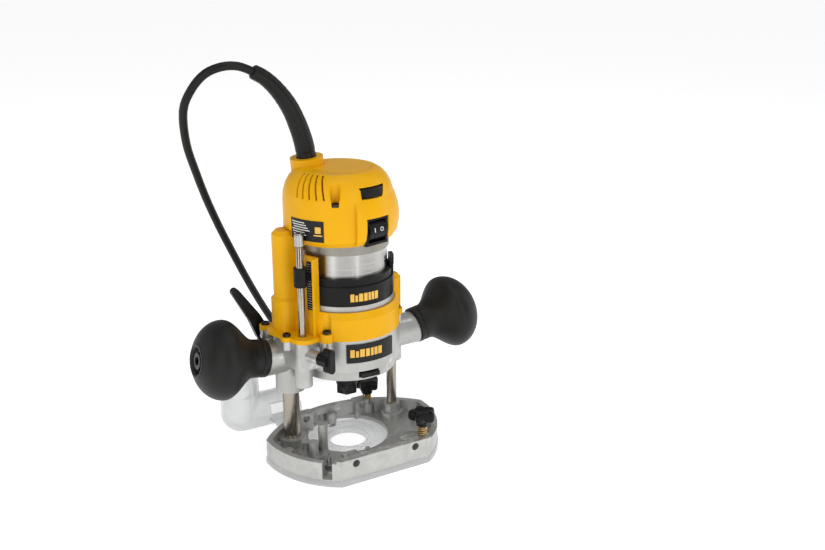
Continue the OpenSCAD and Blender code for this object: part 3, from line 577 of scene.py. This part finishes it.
def threaded_rod(name, matrix, radius, low, high, pitch, material):
    """A rod with a cut thread between two heights, in millimetres."""
    rows = int((high - low) / pitch * THREAD_ROWS)
    rings = []
    for row in range(rows + 1):
        z = low + (high - low) * row / rows
        fade = min(1.0, (z - low) / pitch, (high - z) / pitch)
        ring = []
        for k in range(THREAD_SIDES):
            a = math.tau * k / THREAD_SIDES
            phase = (z / pitch - k / THREAD_SIDES) % 1.0
            r = radius - 0.2 * fade * abs(2 * phase - 1) - 0.15 * (1 - fade)
            ring.append(Vector((r * math.cos(a), r * math.sin(a), z)) * MM)
        rings.append(ring)
    return loft(name, placed(rings, matrix), material, 60)


def coil_spring(name, matrix, mean_r, wire_r, low, high, turns, material):
    """A round wire wound between two heights, its turns closer at both ends."""
    points = []
    steps = int(turns * SPRING_STEPS)
    for k in range(steps + 1):
        t = k / steps
        eased = t + 0.35 / turns * (math.sin(math.tau * t) * -0.5)
        a = math.tau * turns * t
        z = low + wire_r + (high - low - 2 * wire_r) * eased
        points.append(matrix @ (Vector((mean_r * math.cos(a), mean_r * math.sin(a), z)) * MM))
    return loft(name, along(points, lambda t: wire_r * MM, 10), material, 60)


# ball handles, their bolts and the seam round each neck
NECK_R = 15.3
BALL_R = 31.6
BALL_AT = 36
BALL_HALF = 23.5


def handle_profile():
    rows = [(4.1, 0), (NECK_R - 0.8, 0), (NECK_R, 0.8)]
    for step in range(3, 68):
        s = step / 2
        groove = 0.5 * math.exp(-((s - 5.5) / 0.7) ** 2)
        rows.append((NECK_R + (BALL_R - NECK_R) * rise((s - 11) / (BALL_AT - 11)) - groove, s))
    for step in range(0, 33):
        a = math.radians(2 * step)
        rows.append((BALL_R * math.cos(a), BALL_AT + BALL_HALF * math.sin(a)))
    rows += [(12.8, BALL_AT + 21.9), (11.6, BALL_AT + 21.8), (10.7, BALL_AT + 21.0), (10.1, BALL_AT + 19.5),
             (9.7, BALL_AT + 18.2), (9.2, BALL_AT + 17.9), (4.1, BALL_AT + 17.9)]
    return rows


for side, word in ((-1, "left"), (1, "right")):
    axis = shift(side * HANDLE_START_X, COLUMN_Y, HANDLE_Z) @ turn("Y", side * HANDLE_LEAN)
    stands_for(lathe("handle_" + word + "_grip", handle_profile(), RUBBER, axis, 128, 40), "handle_" + word)
    stands_for(socket_screw("handle_screw_" + word, axis @ shift(0, 0, BALL_AT + 18), 6.9, 2.9, 3.6, 3.9, 64),
               "handle_bolt_" + word)


def star_ring(radius, swell, height):
    return circle(radius * MM, height * MM, 120, lambda a: 1 + swell * math.cos(5 * (a - math.radians(5))))


def star_knob(name, node, place, screw_l, spring_node, spring_low, spring_high):
    """Five-lobed knob with a dished top, on a threaded screw with a spring round it."""
    matrix = shift(*place)
    rows = [(4.6, 0, 0.05), (4.9, 0, 0.4), (4.9, 0, 4.6), (7.6, 0.16, 4.9), (8.9, 0.2, 5.4), (9.5, 0.21, 6.6),
            (9.6, 0.215, 9), (9.5, 0.21, 11.2), (9.0, 0.2, 12.6), (8.0, 0.17, 13.2), (6.6, 0.08, 13.45),
            (5.4, 0, 13.4), (4.9, 0, 12.9), (4.4, 0, 12.6), (1.2, 0, 12.6)]
    head = loft(name, placed([star_ring(*row) for row in rows], matrix), BLACK, 45)
    stands_for(head, node)
    rod = threaded_rod(name + "_screw", matrix, 2.0, -screw_l, 0.4, 1.0, BRIGHT_STEEL)
    detail(rod, BODY_OF[node], "steel")
    around = shift(place[0], place[1], 0)
    spring = coil_spring(name + "_spring", around, 3.35, 0.6, spring_low, spring_high, 4.5, BRASS)
    stands_for(spring, spring_node)


star_knob("front_star", "guide_knob_front", (38.5, -58, 30.5), 19, "knob_spring_front", 22, 30.4)
star_knob("rear_star", "guide_knob_rear", (34.5, 29, 25.5), 14, "knob_spring_rear", 17.5, 25.4)

return_coil = coil_spring("return_coil", shift(-COLUMN_X, COLUMN_Y, 0), 3.9, 0.65, SPRING_LOW, SPRING_HIGH, 34,
                          BRIGHT_STEEL)
stands_for(return_coil, "return_spring")
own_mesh(return_coil)

# screws


def cap_place(degrees, radius, height):
    a = math.radians(degrees)
    return shift(CAP_CENTRE[0] + radius * math.cos(a), CAP_CENTRE[1] + radius * math.sin(a), height)


cap_screws = [socket_screw("cap_screw", cap_place(a, CAP_SCREW_R, CAP_SCREW_Z), 3.8, 2.4, 1.9, 1.6, 19.9)
              for a in CAP_SCREW_ANGLES]
stands_for(joined("cap_screw_set", cap_screws), "cap_screws")
COVER_LUGS = ((-62, 20, 3.6), (-58, -12, 3.6), (-32.5, -31, 7), (46, -4, 5))
cover_screws = [socket_screw("cover_screw", shift(x, y, COVER_Z + lug), 3.2, 2.2, 1.6, 1.55, lug - 0.1)
                for x, y, lug in COVER_LUGS]
stands_for(joined("cover_screw_set", cover_screws), "cover_screws")
chute_screw = socket_screw("chute_screw", shift(-40, 25.4, 23.2), 3.2, 2.2, 1.6, 1.7, 11.9, BRIGHT_STEEL)
stands_for(chute_screw, "dust_chute_screw")
plate_screws = [socket_screw("plate_screw", shift(x, y, 3.2) @ turn("X", 180), 3.9, 2.1, 2, 1.95, 8.7)
                for x, y in ((-61, -12), (61, -12), (0, 31))]
stands_for(joined("plate_screw_set", plate_screws), "sub_base_screws")


def hex_bolt(name, place, hex_r, hex_h, rod_r, rod_h, material):
    """A threaded stud with a hexagon nut at its foot."""
    rows = [(0.86, 0), (1, 0.14), (1, 0.86), (0.86, 1)]
    rings = [circle(hex_r * s * MM, hex_h * h * MM, 48, hexagon) for s, h in rows]
    nut = loft("nut", placed(rings, shift(*place)), material, 25)
    rod = threaded_rod("rod", shift(*place), rod_r, hex_h - 0.3, rod_h, 0.8, material)
    return joined(name, [nut, rod])


stands_for(hex_bolt("notch_bolt", (-41, -46, 8.2), 3.75, 4, 2, 9, BRIGHT_STEEL), "base_notch_bolt")

# depth rod with its knurled knob
stands_for(lathe("depth_rod_turned", [(2.2, 70.6), (2.9, 71.4), (2.97, 71.8), (2.97, 185.6), (2.7, 186)], STEEL,
                 shift(*ROD_P, 0), 48), "depth_rod")


def knurl(count, depth):
    return lambda a: 1 - depth * (0.5 + 0.5 * math.cos(count * a))


knob_rows = [(3.0, 186.3, 0), (3.7, 186.7, 0), (3.8, 187.3, 0), (3.8, 188, 0.06), (3.8, 193, 0.06),
             (3.8, 193.8, 0), (3.7, 194.8, 0), (3.3, 195.4, 0), (2.9, 196.1, 0), (1.8, 196.3, 0)]
stands_for(loft("rod_knob_turned", placed([circle(r * MM, z * MM, 144, knurl(24, d)) for r, z, d in knob_rows],
                                          shift(*ROD_P, 0)), TURNED, 40), "rod_knob")

# speed dial with a ribbed rim
dial_rows = [(3, 222.02, 0), (13.8, 222.02, 0), (14.5, 222.5, 0), (14.8, 223.1, 0.03), (14.8, 227.6, 0.03),
             (14.5, 228.5, 0), (13.6, 228.9, 0), (3, 228.9, 0)]
stands_for(loft("speed_dial_ribbed", placed([circle(r * MM, z * MM, 256, knurl(64, d)) for r, z, d in dial_rows],
                                            shift(*DIAL_P, 0)), BLACK, 40), "speed_dial")

# marks on the rocker
rocker_frame = (shift(*CAP_CENTRE, SWITCH_Z) @ turn("Z", SWITCH_ANGLE) @ shift(SWITCH_R, 0, 0) @ turn("Y", 90)
                @ turn("Z", 90) @ shift(0, 0, ROCKER_PIVOT) @ turn("X", ROCKER_REST))
rocker_line = bar("rocker_line", (-3.9, -1.7, 8.0), (-3.1, 1.7, 8.38), PRINT_WHITE, rocker_frame, 0.08)
ring_marks = [circle(r * MM, h * MM, 32) for r, h in ((1.7, 8.1), (1.7, 8.36), (1.1, 8.36), (1.1, 8.1))]
rocker_ring = loft("rocker_ring", placed(ring_marks, rocker_frame @ shift(3.4, 0, 0)), PRINT_WHITE, 30,
                   closed=True)
detail(joined("rocker_marks", [rocker_line, rocker_ring]), BODY_OF["switch_rocker"], "label_black")

# moulded strain relief
BOOT_ROUTE = smooth_route([Vector(p) * MM for p in (
    (-18.6, 22, 230), (-20, 22, 244.5), (-22.2, 22, 257), (-26.7, 22, 271), (-33, 22, 285), (-42, 22, 298),
    (-52, 22, 308), (-62, 22, 314))], 14)
BOOT_RADII = (7.9, 7.9, 7.7, 7.4, 7, 6.4, 5.9, 5.6)


def boot_radius(t):
    place = t * (len(BOOT_RADII) - 1)
    i = min(int(place), len(BOOT_RADII) - 2)
    r = BOOT_RADII[i] + (BOOT_RADII[i + 1] - BOOT_RADII[i]) * (place - i)
    collar = 0.35 * math.exp(-((t - 0.19) / 0.012) ** 2)
    grooves = 0.1 * (0.5 - 0.5 * math.cos(math.tau * 9 * (t - 0.45) / 0.45)) if 0.45 < t < 0.9 else 0
    lip = 1.1 * rise((t - 0.975) / 0.025)
    return (r - collar - grooves - lip) * MM


stands_for(loft("strain_relief", along(BOOT_ROUTE, boot_radius, 36), CORD_RUBBER, 60), "cord_boot")

# printed marks, plain bars instead of words
WALL_MARK = 0.1


def marks(name, centre, radius, rows, material, body):
    """Small bars on a round wall from (low z, high z, first angle, last angle)."""
    pieces = [patch("mark", centre, radius, (z0, z1), (a0, a1), material, WALL_MARK) for z0, z1, a0, a1 in rows]
    detail(joined(name, pieces), body, "label_black")


LETTERS = ((-113, 4.4), (-107.4, 3), (-103.2, 5), (-97, 4.2), (-91.6, 3), (-87.6, 3.6), (-83, 4.4))
BADGE_ROWS = [(96.0, 102.4 - 1.2 * (k == 1), start, start + width) for k, (start, width) in enumerate(LETTERS)]
marks("badge_marks", (0, 0), BADGE_R, BADGE_ROWS, PRINT_YELLOW, BODY_OF["front_badge"])
RING_ROWS = [(140.2, 146.6 - 1.2 * (k == 1), start + 2, start + 2 + width)
             for k, (start, width) in enumerate(LETTERS)]
marks("ring_marks", (0, 0), RING_R, RING_ROWS, PRINT_YELLOW, BODY_OF["adjusting_ring"])
PLATE_ROWS = [(203.2 - 1.9 * line, 203.9 - 1.9 * line, 190 + 1.2 * (line % 3), 207 + 2 * ((line * 5) % 4))
              for line in range(6)]
marks("plate_lines", CAP_CENTRE, PLATE_R, PLATE_ROWS, PRINT_WHITE, BODY_OF["rating_plate"])
marks("plate_symbol", CAP_CENTRE, PLATE_R, [(196.5, 201.5, 219, 225), (194.3, 195.3, 217.5, 226.5)], PRINT_YELLOW,
      BODY_OF["rating_plate"])
SCALE_ROWS = [(134 + 2 * k - 0.12, 134 + 2 * k + 0.12, 201.5, 206 + 2.6 * (k % 5 == 0)) for k in range(19)]
marks("scale_ticks", (0, 0), SCALE_R, SCALE_ROWS, PRINT_WHITE, BODY_OF["depth_scale"])


for node_name, item in frame["nodes"].items():
    for index in range(len(item.data.materials)):
        item.data.materials[index] = MATERIALS[SLOT_OF[node_name]]

# ---------- stage ----------


FLOOR_HALF = 14
FLOOR_DROP = 0.2 * MM
WORLD_STRENGTH = 0.38
AIM_HEIGHT = 0.13


def strip_lamp(name, degrees, distance, height, width, tall, power):
    """A tall soft box aimed at the tool; degrees about the spindle, sizes in metres."""
    data = bpy.data.lights.new(name, "AREA")
    data.shape = "RECTANGLE"
    data.size = width
    data.size_y = tall
    data.energy = power
    lamp = bpy.data.objects.new(name, data)
    a = math.radians(degrees)
    lamp.location = (distance * math.cos(a), distance * math.sin(a), height)
    lamp.rotation_euler = (Vector((0, 0, AIM_HEIGHT)) - lamp.location).to_track_quat("-Z", "Y").to_euler()
    bpy.context.scene.collection.objects.link(lamp)


def make_stage():
    bm = bmesh.new()
    bmesh.ops.create_grid(bm, x_segments=1, y_segments=1, size=FLOOR_HALF)
    pale = surface_material("floor", (0.86, 0.86, 0.86), 0.7, variation=0.005, strength=0.02,
                            Emission_Color=(1, 1, 1, 1), Emission_Strength=0.62)
    floor = finish_mesh(bm, "floor", pale)
    floor.location.z = -FLOOR_DROP
    world = bpy.data.worlds.new("studio")
    world.use_nodes = True
    world.node_tree.nodes["Background"].inputs[0].default_value = (1, 1, 1, 1)
    world.node_tree.nodes["Background"].inputs[1].default_value = WORLD_STRENGTH
    bpy.context.scene.world = world
    strip_lamp("left_strip", -146, 1.3, 0.62, 0.22, 1.5, 4.0)
    strip_lamp("right_strip", -84, 1.3, 0.62, 0.3, 1.5, 4.6)
    strip_lamp("side_strip", -14, 1.5, 0.6, 0.8, 1.3, 4.0)
    strip_lamp("far_left_strip", 150, 1.5, 0.6, 0.5, 1.3, 2.2)
    strip_lamp("overhead", -60, 0.25, 1.5, 1.1, 1.1, 4.5)
    bpy.context.scene.view_settings.view_transform = "Standard"


make_stage()
